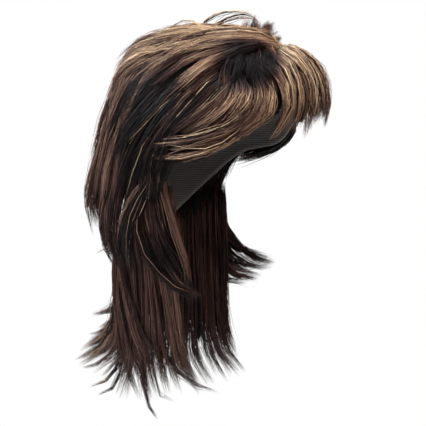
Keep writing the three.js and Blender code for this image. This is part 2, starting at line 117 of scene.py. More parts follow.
# The longest hair down the back of the head.
LONG_BACK_SIDE = [
    [-150, 0.5, 1], [-153, 0.25, 1.18], [-156, -0.05, 1.31], [-159, -0.4, 1.39], [-162, -0.74, 1.33],
]
LONG_BACK_FAR = [
    [172, 0.5, 1], [172, 0.25, 1.18], [172, -0.05, 1.31], [172, -0.42, 1.38], [172, -0.78, 1.31],
]
UPPER_BACK_MIDDLE = [
    [[180, 0.93, 0.37], [180, 1.1, 0.87], [180, 0.68, 1.12], [180, 0.16, 1.28], [180, -0.38, 1.41]],
]
OVER_EAR_RIGHT = [
    [[-92, 0.15, 0.98], [-98, 0.12, 1.1], [-112, -0.2, 1.2], [-128, -0.55, 1.26], [-142, -0.95, 1.22]],
    [[-100, 0.05, 1], [-104, -0.02, 1.1], [-115, -0.4, 1.17], [-128, -0.85, 1.18], [-135, -1.3, 1.05]],
]
MID_BACK_RIGHT = [
    [[-120, 0.3, 0.95], [-120, 0.1, 1.03], [-122, -0.35, 1.12], [-124, -0.8, 1.13], [-128, -1.25, 1]],
    [[-150, 0.35, 0.94], [-150, 0.15, 1.04], [-150, -0.3, 1.18], [-148, -0.75, 1.24], [-145, -1.15, 1.08]],
]
MID_BACK_MIDDLE = [
    [[180, 0.35, 0.94], [180, 0.15, 1.06], [180, -0.3, 1.24], [180, -0.7, 1.32], [180, -1.1, 1.12]],
]
NECK_CURL_RIGHT = [
    [[-104, 0.1, 0.98], [-106, -0.2, 1.06], [-97, -0.68, 1.02], [-90, -1.08, 0.96], [-97, -1.38, 0.93]],
    [[-120, 0, 1], [-124, -0.4, 1.12], [-122, -0.9, 1.1], [-106, -1.28, 1], [-78, -1.36, 0.98]],
]
NECK_CURL_LEFT = [
    [[108, 0.1, 0.98], [110, -0.2, 1.05], [104, -0.6, 1.02], [90, -0.92, 0.98], [66, -1.08, 0.98]],
    [[120, 0, 1], [124, -0.4, 1.12], [122, -0.9, 1.1], [108, -1.28, 1], [84, -1.34, 0.96]],
]
TAIL_BACK_RIGHT = [
    [[-150, -0.35, 0.94], [-150, -0.8, 1.04], [-152, -1.4, 1.06], [-156, -1.88, 1.14], [-160, -2.15, 1.54]],
]
TAIL_BACK_MIDDLE = [
    [[180, -0.35, 0.94], [180, -0.8, 1], [180, -1.35, 1.06], [180, -1.72, 1.2], [180, -1.93, 1.55]],
]
TAIL_FLICKS = [
    [[-172, -0.4, 0.92], [-172, -0.8, 1.03], [-173, -1.3, 1.07], [-176, -1.54, 1.17], [-178, -1.62, 1.43]],
    [[172, -0.4, 0.92], [172, -0.8, 1.03], [173, -1.35, 1.08], [174, -1.64, 1.2], [176, -1.77, 1.44]],
]
TAIL_SIDE_RIGHT = [
    [[-104, -0.2, 0.97], [-103, -0.7, 0.95], [-103, -1.25, 0.86], [-101, -1.72, 0.82], [-96, -2.02, 0.85]],
    [[-112, -0.25, 0.96], [-112, -0.8, 0.97], [-110, -1.45, 0.84], [-103, -2, 0.82], [-84, -2.3, 0.9]],
    [[-120, -0.3, 0.95], [-119, -0.8, 0.98], [-118, -1.4, 0.9], [-116, -1.9, 0.87], [-103, -2.36, 0.97]],
    [[-130, -0.35, 0.93], [-130, -0.85, 0.98], [-130, -1.5, 0.93], [-131, -2.08, 0.98], [-114, -2.55, 1.06]],
    [[-145, -0.4, 0.92], [-145, -0.9, 0.98], [-146, -1.5, 0.98], [-148, -2, 1.04], [-152, -2.34, 1.3]],
]
# Hair that crosses the side of the tail, from the back forward to the tips.
FLOW_FRONT = [
    [-146, -0.45, 1], [-143, -0.9, 1.05], [-134, -1.36, 1], [-120, -1.8, 0.97], [-100, -2.2, 0.99],
]
FLOW_BACK = [
    [-165, -0.7, 1.08], [-161, -1.15, 1.1], [-153, -1.62, 1.07], [-142, -2.06, 1.04], [-123, -2.44, 1.03],
]


def mirror_guide(guide):
    return [[-turn, up, out] for turn, up, out in guide]


def mirrored(guides):
    return [mirror_guide(guide) for guide in reversed(guides)]


def both_sides(right, middle=()):
    return list(right) + list(middle) + mirrored(right)


# Thin wisps, each with its half width in millimetres and its count of fibres: flyaway arcs over the crown,
# strands that leave the back and the tail, and tips that curl forward.
CROWN_WISPS = [
    ([[160, 1.22, 0.3], [165, 1.4, 0.2], [120, 1.5, 0.08], [8, 1.54, 0.22], [8, 1.5, 0.38]],
     1.6, 12),
    ([[150, 1.24, 0.22], [130, 1.38, 0.12], [40, 1.48, 0.12], [12, 1.5, 0.28], [10, 1.42, 0.42]],
     1.8, 12),
    ([[-160, 1.25, 0.25], [-120, 1.36, 0.12], [-30, 1.42, 0.16], [-8, 1.44, 0.32], [0, 1.38, 0.44]],
     1.2, 8),
    ([[-60, 1.2, 0.25], [-110, 1.34, 0.24], [-150, 1.42, 0.32], [-165, 1.42, 0.46], [-168, 1.34, 0.6]],
     1.4, 10),
    ([[60, 1.2, 0.25], [110, 1.32, 0.26], [150, 1.4, 0.34], [165, 1.38, 0.5], [168, 1.28, 0.64]],
     1.4, 10),
    ([[-100, 1.16, 0.5], [-135, 1.26, 0.6], [-155, 1.28, 0.76], [-162, 1.18, 0.94], [-166, 1.02, 1.08]],
     1.6, 10),
]
FRINGE_WISPS = [
    ([[2, 0.9, 0.5], [4, 1.12, 0.78], [8, 1, 1.04], [10, 0.82, 1.15], [11, 0.68, 1.19]], 1.4, 10),
    ([[-8, 0.9, 0.5], [-6, 1.15, 0.78], [0, 1.02, 1.06], [4, 0.8, 1.17], [6, 0.55, 1.2]], 1.4, 10),
    ([[-30, 0.86, 0.52], [-28, 1.06, 0.82], [-24, 0.86, 1.1], [-20, 0.55, 1.18], [-16, 0.33, 1.16]], 1.8, 12),
    ([[8, 0.9, 0.5], [10, 1.12, 0.78], [12, 0.9, 1.08], [13, 0.55, 1.14], [12, 0.33, 1.12]], 1.8, 12),
]
TAIL_WISPS = [
    ([[-128, -1, 0.96], [-128, -1.4, 0.92], [-120, -1.9, 0.86], [-98, -2.2, 0.86], [-73, -2.32, 0.92]],
     2.2, 16),
    ([[-124, -1.1, 0.96], [-124, -1.5, 0.9], [-117, -1.95, 0.84], [-96, -2.22, 0.84], [-78, -2.3, 0.88]],
     1.8, 12),
    ([[-132, -1, 0.95], [-133, -1.6, 0.92], [-134, -2.15, 0.96], [-128, -2.48, 0.94], [-113, -2.58, 1.02]],
     3, 30),
    ([[-126, -1, 0.95], [-127, -1.6, 0.9], [-127, -2.1, 0.86], [-120, -2.4, 0.82], [-108, -2.38, 0.84]],
     2.2, 16),
]
BACK_WISPS = [
    ([[-160, -0.2, 1.2], [-163, -0.55, 1.3], [-165, -0.82, 1.25], [-166, -0.9, 1.27], [-167, -0.94, 1.4]],
     1.4, 12),
    ([[-158, 0.5, 1.1], [-162, 0.15, 1.28], [-164, -0.15, 1.38], [-165, -0.45, 1.42], [-166, -0.75, 1.36]],
     1.6, 12),
]
TAIL_BACK_WISPS = [
    ([[-168, -1, 1.04], [-168, -1.4, 1.05], [-170, -1.62, 1.1], [-172, -1.72, 1.22], [-173, -1.78, 1.42]],
     2, 16),
    ([[-164, -1.2, 1.04], [-165, -1.7, 1.06], [-167, -1.95, 1.14], [-169, -2.1, 1.3], [-170, -2.16, 1.5]],
     3.6, 36),
    ([[-160, -1.2, 1.02], [-162, -1.8, 1.04], [-163, -2.1, 1.1], [-164, -2.28, 1.24], [-165, -2.34, 1.42]],
     3.4, 34),
    ([[-158, -1.3, 1.02], [-160, -1.9, 1.04], [-161, -2.2, 1.1], [-162, -2.38, 1.2], [-163, -2.44, 1.32]],
     3.2, 32),
]
WISPS = {"crown": CROWN_WISPS, "fringe": FRINGE_WISPS, "tail_right": TAIL_WISPS, "upper_back": BACK_WISPS,
         "tail_back": TAIL_BACK_WISPS}

# What a row of hair holds where it says nothing else.
HAIR_DEFAULTS = dict(bulk=1, fill=1, layers=0, rise=1, gather=0.75, stray=0.15, ragged=0.4, inner=0.22,
                     top_tone=0, trim=None, extra=[], fans=[], loose=[])

# Each piece of hair. Its form: guides; locks, as in the solid; tresses, and the fibres in each; bulk, its
# thickness against the lock's; fill, how much deeper it is towards the head; layers, the count of shorter
# tresses on top; rise, how far these stand off; gather, how closely tresses draw together at the tips;
# stray, how far a clump strays; ragged, how uneven the tips are; inner, the share of fibres on the head's
# side; trim, pairs of a place among the guides and how much shorter its tips are.
# Hair beside the guides: extra, single locks; fans to a neighbour's guide, as two guides, the shares of the
# way between them where it starts and stops, and tresses; loose, as two guides and their tresses.
# Its colours: tone, the middle of its tones from 0, dark, to 1, pale; spread, how much they vary; light, its
# share of light fibres; top_tone, what is added near the root; root, how much of the painted root shade is
# left out.
HAIR = {
    "crown": dict(
        guides=both_sides(CROWN_RIGHT, CROWN_MIDDLE), locks=7, tresses=36, fibres=38, fill=2.6, layers=44,
        rise=1.2, extra=CROWN_TUFTS, tone=0.54, spread=0.17, light=0.13, root=0.5, slot="hair_brown",
        fans=[(SIDE_RIGHT[0], CROWN_RIGHT[0], 0.4, 1.0, 5)],
        loose=[(TUFT_BACK, TUFT_NEAR, 5), (TUFT_NEAR, CROWN_TUFTS[0], 5),
               (CROWN_TUFTS[0], CROWN_TUFTS[1], 4), (CROWN_TUFTS[1], CROWN_TUFTS[2], 4),
               (WHORL_LOW, WHORL_HIGH, 5), (COVER_FALL, COVER_LOW, 7), (COVER_LOW, COVER_HIGH, 11),
               (mirror_guide(COVER_HIGH), mirror_guide(COVER_LOW), 8)]),
    "fringe": dict(
        guides=both_sides(FRINGE_RIGHT), locks=11, tresses=54, fibres=36, bulk=0.7, layers=30, rise=0.1,
        gather=0.95, stray=0.6, ragged=0.3, inner=0.4, tone=0.54, spread=0.11, light=0.46, root=0.0,
        slot="hair_gold",
        trim=[(0, 0), (2, -0.12), (3.3, -0.22), (3.7, 0.45), (4.3, 0.5), (4.8, 0.1), (5.4, 0.1), (5.9, 0.6),
              (7, 0.75), (9, 0.6)],
        fans=[(FRINGE_RIGHT[0], TEMPLE_RIGHT[0], 0.0, 0.5, 7)],
        loose=[(SWEEP_LOW, SWEEP_HIGH, 8), (WHORL_BACK, WHORL_FRONT, 9), (WHORL_SIDE, WHORL_BACK, 13)]),
    "temple_right": dict(
        guides=TEMPLE_RIGHT, locks=4, tresses=18, fibres=44, bulk=0.8, tone=0.25, spread=0.2, light=0.26,
        root=0.0, slot="hair_gold",
        fans=[(FRINGE_RIGHT[0], TEMPLE_RIGHT[0], 0.5, 1.0, 6),
              (TEMPLE_RIGHT[0], SIDE_RIGHT[3], 0.0, 0.5, 4)],
        loose=[(OVER_LOW, OVER_HIGH, 12)]),
    "side_right": dict(
        guides=SIDE_RIGHT, locks=5, tresses=28, fibres=40, fill=1.8, layers=26, rise=1.3, tone=0.1,
        spread=0.1, light=0.05, root=0.2, top_tone=0.12, slot="hair_brown",
        fans=[(TEMPLE_RIGHT[0], SIDE_RIGHT[3], 0.4, 1.0, 6), (SIDE_RIGHT[0], CROWN_RIGHT[0], 0.0, 0.6, 4)]),
    "upper_back": dict(
        guides=both_sides(UPPER_BACK_RIGHT, UPPER_BACK_MIDDLE), locks=5, tresses=38, fibres=38, fill=1.6,
        layers=28, rise=0.8, tone=0.6, spread=0.15, light=0.17, root=0.5, slot="hair_brown",
        loose=[(LONG_BACK_FAR, LONG_BACK_SIDE, 9)]),
    "over_ear_right": dict(
        guides=OVER_EAR_RIGHT, locks=3, tresses=9, fibres=38, tone=0.2, spread=0.08, light=0.05, root=0.3,
        slot="hair_brown"),
    "mid_back": dict(
        guides=both_sides(MID_BACK_RIGHT, MID_BACK_MIDDLE), locks=6, tresses=20, fibres=36, tone=0.44,
        spread=0.11, light=0.12, root=0.5, slot="hair_dark"),
    "neck_curl_right": dict(
        guides=NECK_CURL_RIGHT, locks=3, tresses=15, fibres=42, bulk=0.85, ragged=0.25, inner=0.4, tone=0.46,
        spread=0.09, light=0.04, root=0.4, slot="hair_dark"),
    "tail_back": dict(
        guides=both_sides(TAIL_BACK_RIGHT, TAIL_BACK_MIDDLE), locks=4, tresses=28, fibres=42, bulk=1.2,
        gather=0.55, ragged=0.35, inner=0.45, extra=TAIL_FLICKS, tone=0.36, spread=0.09, light=0.1, root=0.5,
        slot="hair_dark"),
    "tail_right": dict(
        guides=TAIL_SIDE_RIGHT, locks=6, tresses=26, fibres=42, bulk=1.2, gather=0.5, ragged=0.45,
        inner=0.45, tone=0.47, spread=0.1, light=0.07, root=0.5, slot="hair_dark",
        fans=[(TAIL_BACK_RIGHT[0], TAIL_SIDE_RIGHT[4], 0.0, 1.0, 5)],
        loose=[(FLOW_FRONT, FLOW_BACK, 8)]),
}
HAIR = {name: dict(HAIR_DEFAULTS, **row) for name, row in HAIR.items()}


def mirrored_row(row):
    """The same hair on the other side, without the loose hair."""
    fans = []
    for first, second, start, stop, count in row["fans"]:
        fans.append((mirror_guide(first), mirror_guide(second), start, stop, count))
    return dict(row, guides=mirrored(row["guides"]), fans=fans, loose=[])


for paired in ("temple", "side", "over_ear", "neck_curl", "tail"):
    HAIR[paired + "_left"] = mirrored_row(HAIR[paired + "_right"])
HAIR["neck_curl_left"]["guides"] = NECK_CURL_LEFT[::-1]
HAIR["temple_left"]["loose"] = [(mirror_guide(WHORL_FRONT), mirror_guide(WHORL_BACK), 7),
                                (mirror_guide(WHORL_BACK), mirror_guide(WHORL_SIDE), 8)]
HAIR["side_left"].update(tresses=22, layers=12)
HAIR["tail_left"].update(tresses=28)
for whole in ("crown", "fringe"):
    HAIR[whole]["fans"] += mirrored_row(HAIR[whole])["fans"]

# A tress's width and thickness from root to tip, as shares of the largest.
ALONG = np.array([0, 0.2, 0.48, 0.78, 1])
TRESS_WIDTH = np.array([0.9, 1, 0.95, 0.66, 0.12])
TRESS_THICKNESS = np.array([0.3, 0.9, 0.95, 0.7, 0.16])
# The inner body of a lock stops short of the tip: shares of the guide, with the width and thickness there.
BODY_END = 0.74
BODY_WIDTH = ([0, 0.16, 0.5, BODY_END], [0.3, 0.9, 0.85, 0.3])
BODY_THICKNESS = ([0, 0.2, 0.5, BODY_END], [0.08, 0.28, 0.26, 0.15])
BODY_SINK = 1.6 * MM
BODY_GAP = 2 * MM
# Painted shade: the bodies are near black, for the shade deep inside the hair.
BODY_SHADE_TONE = 0.01
BODY_SHADE_TONE_RANGE = 0.02

# Stations in a guide, and points along a path, a tress, a lock's body and a fibre.
STATIONS = 5
PATH_POINTS = 49
TRESS_STEPS = 25
BODY_STEPS = 14
FIBRE_STEPS = 8
FIBRE_SECTION = np.array([[-1, -0.35], [1, -0.35], [0, 0.65]])
BODY_ANGLES = np.linspace(0, 2 * math.pi, 9)[:-1]
BODY_SECTION = np.stack([np.cos(BODY_ANGLES), np.sin(BODY_ANGLES)], axis=1)
# The share of a path where its outward direction is set.
CREST_SHARE = 0.45

# How a tress leaves its guide: the share of each random shift at each station that it moves.
OUT_SHIFT = 0.016
OUT_SHIFT_SHARES = np.array([0.3, 0.8, 1, 1.3])
UP_SHIFT = 0.02
UP_SHIFT_SHARES = np.array([0.4, 1])
DRIFT_SHARES = np.array([0.0, 0.2, 0.5, 0.8, 1.1])
GATHER_SHARES = np.array([0.0, 0.1, 0.25, 0.5, 0.75])
STRAY_SHARES = np.array([0, 0.15, 0.5, 0.9, 1.2])
LAYER_SHARES = np.array([0.0, 0.3, 0.6, 1, 1.4])
BETWEEN_SHARES = np.array([-0.6, 0.0, 0.6, 1, 1.4])
SWAY_ACROSS_AND_OUT = np.array([3.0, 1.6]) * MM
# Near enough a full turn, in radians, for random phases.
FULL_TURN = 6.28
# Tresses stay this far from the first and last guide, and gather in this many clumps to a lock.
EDGE_PLACE = 0.02
CLUMPS_PER_LOCK = 2
LEAST_ROOM = 2.2 * MM
TRESS_OVERLAP = 2.1

# Shorter tresses on top: the fibres in each, where on the guide they start, how much of it they cover, how
# far they stand off from root to tip in millimetres, and how far they swing to the side.
LAYER_FIBRES = 24
LAYER_STARTS = (0.05, 0.55)
LAYER_LENGTHS = (0.3, 0.5)
LAYER_RISE = ([0, 0.3, 0.7, 1], [-3.0, 1.2, 2.2, 5.0])
LAYER_SWING = 5 * MM
LAYER_ROOM = 1.3
# How much of the painted root shade the shorter tresses leave out.
LAYER_ROOT = 0.2
SINGLE_TRESSES = 3
SINGLE_ROOM = 3.2 * MM

# A fibre's half width, its share along the fibre, its gap from the head, and how it wanders.
FIBRE_HALF_WIDTH = 0.38 * MM
FIBRE_TAPER = ([0, 0.1, 0.6, 1], [0.6, 1, 0.85, 0.2])
FIBRE_GAP = 1.2 * MM
FIBRE_FUZZ = 0.32 * MM
STRAY_SHARE = 0.05
LEAST_FIBRES = 6

# A fibre's tones, from 0, dark, to 1, pale.
TONE_LIMITS = (0.12, 0.66)
LIGHT_TONES = (0.6, 0.92)
# Painted shade: fibres near or on the head's side of a tress, under the others, are this much darker.
UNDER_PAINTED_SHADE = 0.6
# Painted light: how much lighter hair is for facing the painted light's way, and the facing where its tone is
# left as it is.
PAINTED_LIGHT_GAIN = 0.26
PAINTED_LIGHT_EVEN = 0.35
TOP_TONE = ([0, 0.1, 0.24, 0.42], [0, 1, 0.8, 0])
CORNER_TONES = np.array([-0.006, 0.006, 0.0])
# Painted shade in the hair's tone, on both sides: over the roots that the fringe springs from, and in the
# hollow of the neck's curl. Each has its middle as a station, and how far away full shade ends and full light
# starts.
SHADES = [([53, 0.96, 0.88], 24 * MM, 42 * MM), ([108, -0.95, 1.04], 7 * MM, 24 * MM)]
SHADES += [([-turn, up, out], near, far) for (turn, up, out), near, far in SHADES]
SHADE_FLOOR = 0.12
# A few strands lie above the shade, and this is how light they stay.
ABOVE_SHADE_SHARE = 0.012
ABOVE_SHADE_LIGHT = 0.6


def unit(vectors):
    return vectors / np.maximum(np.linalg.norm(vectors, axis=-1, keepdims=True), 1e-12)


def points_of(stations):
    turn = np.radians(stations[..., 0])
    up = stations[..., 1]
    out = stations[..., 2]
    shape = np.stack([out * np.sin(turn), -out * np.cos(turn), up], axis=-1)
    return HEAD_CENTRE + shape * HEAD_HALF


def steady(place):
    """Places that stay the same from root to tip."""
    return np.repeat(place[:, None], STATIONS, axis=1)


def stations_at(guides, places):
    """Stations of locks whose place among the guides may drift: places is (locks, stations)."""
    table = np.array(guides, float)
    low = np.clip(np.floor(places).astype(int), 0, len(table) - 2)
    share = (places - low)[..., None]
    station = np.arange(table.shape[1])
    first = table[low, station]
    step = table[low + 1, station] - first
    # From turn to turn, the shorter way round.
    step[..., 0] = (step[..., 0] + 540) % 360 - 180
    return first + share * step


def smooth_paths(knots, shares):
    """Catmull-Rom paths through the knots (paths, stations, 3), read at shares (steps,) of their length."""
    ahead = 2 * knots[:, :1] - knots[:, 1:2]
    beyond = 2 * knots[:, -1:] - knots[:, -2:-1]
    hull = np.concatenate([ahead, knots, beyond], axis=1)
    dense = []
    for position in np.linspace(0, knots.shape[1] - 1, PATH_POINTS):
        low = min(int(position), knots.shape[1] - 2)
        t = position - low
        before, start, end, after = (hull[:, low + k] for k in range(4))
        square = 2 * before - 5 * start + 4 * end - after
        cube = 3 * start - before - 3 * end + after
        dense.append(0.5 * (2 * start + (end - before) * t + square * t * t + cube * t ** 3))
    dense = np.stack(dense, axis=1)
    steps = np.linalg.norm(np.diff(dense, axis=1), axis=2)
    length = np.concatenate([np.zeros((len(knots), 1)), np.cumsum(steps, axis=1)], axis=1)
    paths = np.empty((len(knots), len(shares), 3))
    for row in range(len(knots)):
        for axis in range(3):
            paths[row, :, axis] = np.interp(shares * length[row, -1], length[row], dense[row, :, axis])
    return paths


def frames_of(paths):
    """Outward and across directions that turn with each path and face away from the head at its crest."""
    tangent = unit(np.gradient(paths, axis=1))
    crest = int(CREST_SHARE * (paths.shape[1] - 1))
    # Above this point hair faces away from it, and below it straight out from the upright axis.
    heart = HEAD_CENTRE * np.array([1, 1, 0.5])
    away = paths[:, crest] - heart
    away[:, 2] = np.where(paths[:, crest, 2] < heart[2], 0, away[:, 2])
    outward = np.zeros_like(paths)

    def flattened(vector, step):
        along = (vector * tangent[:, step]).sum(axis=1, keepdims=True)
        return unit(vector - along * tangent[:, step])

    outward[:, crest] = flattened(away, crest)
    for step in range(crest + 1, paths.shape[1]):
        outward[:, step] = flattened(outward[:, step - 1], step)
    for step in range(crest - 1, -1, -1):
        outward[:, step] = flattened(outward[:, step + 1], step)
    return outward, unit(np.cross(outward, tangent))


def clear_of_head(points, gap):
    """Pushes points out of the head's form grown by the gap."""
    local = (points - HEAD_CENTRE) / (HEAD_HALF + gap)
    reach = np.linalg.norm(local, axis=-1, keepdims=True)
    pushed = HEAD_CENTRE + (points - HEAD_CENTRE) / np.maximum(reach, 0.2)
    return np.where(reach < 1, pushed, points)


def room_between(guides, places, spacing, reach, shares):
    """The width that each lock or tress has between its neighbours, at shares of its length."""
    low = np.maximum(places - spacing, 0)
    high = np.minimum(places + spacing, reach)
    before = smooth_paths(points_of(stations_at(guides, low)), shares)
    after = smooth_paths(points_of(stations_at(guides, high)), shares)
    return np.linalg.norm(after - before, axis=2) / ((high - low)[:, :1] / spacing)


def tress_room(guides, places, spacing, reach):
    shares = np.linspace(0, 1, TRESS_STEPS)
    return np.maximum(room_between(guides, places, spacing, reach, shares), LEAST_ROOM)


def link_object(name, mesh, material):
    mesh.materials.append(material)
    made = bpy.data.objects.new(name, mesh)
    bpy.context.scene.collection.objects.link(made)
    return made


class Skin:
    """Collects closed tapered tubes and turns them into one mesh with a map of tone and length."""

    def __init__(self):
        self.points = []
        self.corners = []
        self.sizes = []
        self.maps = []
        self.count = 0

    def add(self, centre, across, outward, width, height, section, tone, along):
        """Tubes round the centre lines (tubes, steps, 3), pointed at both ends."""
        tubes, steps = centre.shape[:2]
        sides = len(section)
        rings = steps - 2
        aside = across[:, 1:-1, None] * (width[:, 1:-1, None] * section[:, 0])[..., None]
        above = outward[:, 1:-1, None] * (height[:, 1:-1, None] * section[:, 1])[..., None]
        ring = centre[:, 1:-1, None] + aside + above
        points = np.concatenate([centre[:, :1], ring.reshape(tubes, -1, 3), centre[:, -1:]], axis=1)
        if tone.ndim == 2:
            tone = np.repeat(tone[:, None, :], steps, axis=1)
        ends = tone.mean(axis=2)
        tones = np.concatenate([ends[:, :1], tone[:, 1:-1].reshape(tubes, -1), ends[:, -1:]], axis=1)
        lengths = np.repeat(along[:, 1:-1], sides, axis=1)
        lengths = np.concatenate([along[:, :1], lengths, along[:, -1:]], axis=1)
        corners, sizes = self.faces(sides, rings)
        shift = self.count + np.arange(tubes)[:, None] * points.shape[1]
        self.points.append(points.reshape(-1, 3))
        self.maps.append(np.stack([tones, lengths], axis=-1).reshape(-1, 2))
        self.corners.append((corners[None] + shift).ravel())
        self.sizes.append(np.tile(sizes, tubes))
        self.count += tubes * points.shape[1]

    def faces(self, sides, rings):
        """The corners and sizes of one tube's faces: triangles at both ends and quads between the rings."""
        side = np.arange(sides)
        beside = (side + 1) % sides
        corners = [np.stack([np.zeros(sides, int), 1 + beside, 1 + side], axis=1).ravel()]
        sizes = [3] * sides
        for ring in range(rings - 1):
            low = 1 + ring * sides
            quad = np.stack([low + side, low + beside, low + sides + beside, low + sides + side], axis=1)
            corners.append(quad.ravel())
            sizes += [4] * sides
        low = 1 + (rings - 1) * sides
        last = np.full(sides, 1 + rings * sides)
        corners.append(np.stack([low + side, low + beside, last], axis=1).ravel())
        sizes += [3] * sides
        return np.concatenate(corners), sizes

    def build(self, name, material):
        points = np.concatenate(self.points)
        corners = np.concatenate(self.corners)
        sizes = np.concatenate(self.sizes)
        maps = np.concatenate(self.maps)
        mesh = bpy.data.meshes.new(name)
        mesh.vertices.add(len(points))
        mesh.vertices.foreach_set("co", points.ravel())
        mesh.loops.add(len(corners))
        mesh.loops.foreach_set("vertex_index", corners.astype(np.int32))
        mesh.polygons.add(len(sizes))
        starts = np.concatenate([[0], np.cumsum(sizes)[:-1]])
        mesh.polygons.foreach_set("loop_start", starts.astype(np.int32))
        mesh.polygons.foreach_set("loop_total", sizes.astype(np.int32))
        mesh.polygons.foreach_set("use_smooth", np.ones(len(sizes), bool))
        layer = mesh.uv_layers.new(name="OFBake")
        layer.data.foreach_set("uv", maps[corners].ravel())
        mesh.update(calc_edges=True)
        mesh.validate()
        return link_object(name, mesh, material)


def add_bodies(skin, row):
    """The inner body of each lock, inside the solid's form, painted near black as the shade deep in the hair.
    """
    reach = len(row["guides"]) - 1
    spacing = reach / row["locks"]
    order = np.arange(row["locks"])
    places = steady((order + 0.5) * spacing)
    shares = np.linspace(0, BODY_END, BODY_STEPS)
    paths = smooth_paths(points_of(stations_at(row["guides"], places)), shares)
    outward, across = frames_of(paths)
    room = room_between(row["guides"], places, spacing, reach, shares)
    half_width = 0.5 * room * np.interp(shares, *BODY_WIDTH)
    half_thick = 0.5 * LOCK_THICKNESS * row["bulk"] * np.interp(shares, *BODY_THICKNESS)
    layer = ((order * GOLDEN_SHARE) % 1 - 0.5)[:, None, None]
    deepened = half_thick * (row["fill"] - 1) * 2
    centre = paths + outward * (layer * LAYER_STEP - 0.5 * deepened[..., None] - BODY_SINK)
    centre = clear_of_head(centre, BODY_GAP)
    tone = BODY_SHADE_TONE + BODY_SHADE_TONE_RANGE * RNG.random((len(order), len(BODY_SECTION)))
    along = np.repeat(shares[None], len(order), axis=0)
    half_depth = np.repeat((half_thick + 0.5 * deepened)[None], len(order), axis=0)
    skin.add(centre, across, outward, half_width, half_depth, BODY_SECTION, tone, along)


def tress_paths(row, guides, places, layer, short, span, trim):
    """The middle line of each tress, and the share of its own length at each point of it."""
    tresses = len(places)
    knots = stations_at(guides, places)
    knots[:, 1:, 2] += RNG.normal(0, OUT_SHIFT, (tresses, 1)) * OUT_SHIFT_SHARES
    knots[:, 3:, 1] += RNG.normal(0, UP_SHIFT, (tresses, 1)) * UP_SHIFT_SHARES
    world = points_of(knots)
    shorten = (0.75 * short + 0.25 * RNG.beta(1.6, 4, tresses))[:, None] * row["ragged"] * 1.4
    world[:, 4] = world[:, 4] + (world[:, 3] - world[:, 4]) * shorten
    if trim is not None:
        world[:, 4] = world[:, 4] + (world[:, 3] - world[:, 4]) * trim[:, None]
    shares = np.linspace(0, 1, TRESS_STEPS)
    paths = smooth_paths(world, shares)
    outward, across = frames_of(paths)
    bend = RNG.normal(0, 1, (tresses, 2)) * SWAY_ACROSS_AND_OUT
    waves = shares * math.pi * 2 * RNG.uniform(0.5, 1.1, (tresses, 1))
    sway = np.sin(waves + RNG.uniform(0, FULL_TURN, (tresses, 1)))
    paths = paths + across * (bend[:, :1] * sway * shares)[..., None]
    paths = paths + outward * (layer[:, None] + bend[:, 1:] * shares * sway)[..., None]
    if span is None:
        return paths, outward, across, np.repeat(shares[None], tresses, axis=0)
    begin, finish = span
    own = np.clip((shares - begin[:, None]) / (finish - begin)[:, None], 0, 1)
    rise = np.interp(own, *LAYER_RISE) * MM * row["rise"]
    paths = paths + outward * (rise * RNG.uniform(0.5, 1.2, (tresses, 1)))[..., None]
    paths = paths + across * (own ** 1.6 * RNG.normal(0, LAYER_SWING * row["rise"], (tresses, 1)))[..., None]
    return paths, outward, across, own


def fibre_tones(row, owner, clump, lift, along, centre, ways_out):
    """The tones along each fibre, from its clump and its tress, with painted light where it faces the sky and
    painted shade.
    """
    tresses = len(clump)
    total = len(owner)
    clump_light = RNG.gamma(1.3, 0.8, tresses)[clump]
    clump_tone = RNG.normal(0, row["spread"], tresses)[clump]
    tress_light = np.clip(row["light"] * clump_light * RNG.gamma(2.0, 0.5, tresses), 0, 0.9)
    is_light = RNG.random(total) < tress_light[owner]
    tress_tone = row["tone"] + clump_tone + RNG.normal(0, 0.6 * row["spread"], tresses)
    tone = np.clip(tress_tone[owner] + RNG.normal(0, 0.06, total), *TONE_LIMITS)
    tone = np.where(is_light, RNG.uniform(*LIGHT_TONES, total), tone)
    # Painted shade on the fibres under the tress.
    tone = np.where(lift < 0.2, tone * UNDER_PAINTED_SHADE, tone)
    # Painted shade: tones darken near the middle of each place in SHADES, over the fringe's roots and in the
    # curl's hollow.
    shade = np.ones((total, FIBRE_STEPS))
    for middle, near, far in SHADES:
        away = np.linalg.norm(centre - points_of(np.array(middle)), axis=-1)
        shade = np.minimum(shade, np.clip((away - near) / (far - near), 0, 1))
    above = RNG.random((total, 1)) < ABOVE_SHADE_SHARE
    shade = np.maximum(shade, np.where(above, ABOVE_SHADE_LIGHT, 0))
    # Painted light: hair that faces up and a little to the front is lighter.
    facing_painted_light = (ways_out * PAINTED_LIGHT_WAY).sum(axis=2) * np.where(lift > 0, 1, -1)[:, None]
    along_tone = tone[:, None] + PAINTED_LIGHT_GAIN * (facing_painted_light - PAINTED_LIGHT_EVEN)
    along_tone = along_tone + RNG.normal(0, 0.015, (total, FIBRE_STEPS))
    along_tone = along_tone + row["top_tone"] * np.interp(along, *TOP_TONE)
    # The painted shade darkens the tone, down to SHADE_FLOOR.
    along_tone = along_tone * (SHADE_FLOOR + (1 - SHADE_FLOOR) * shade * shade * (3 - 2 * shade))
    return np.clip(along_tone, 0.06, 0.99)[..., None] + CORNER_TONES


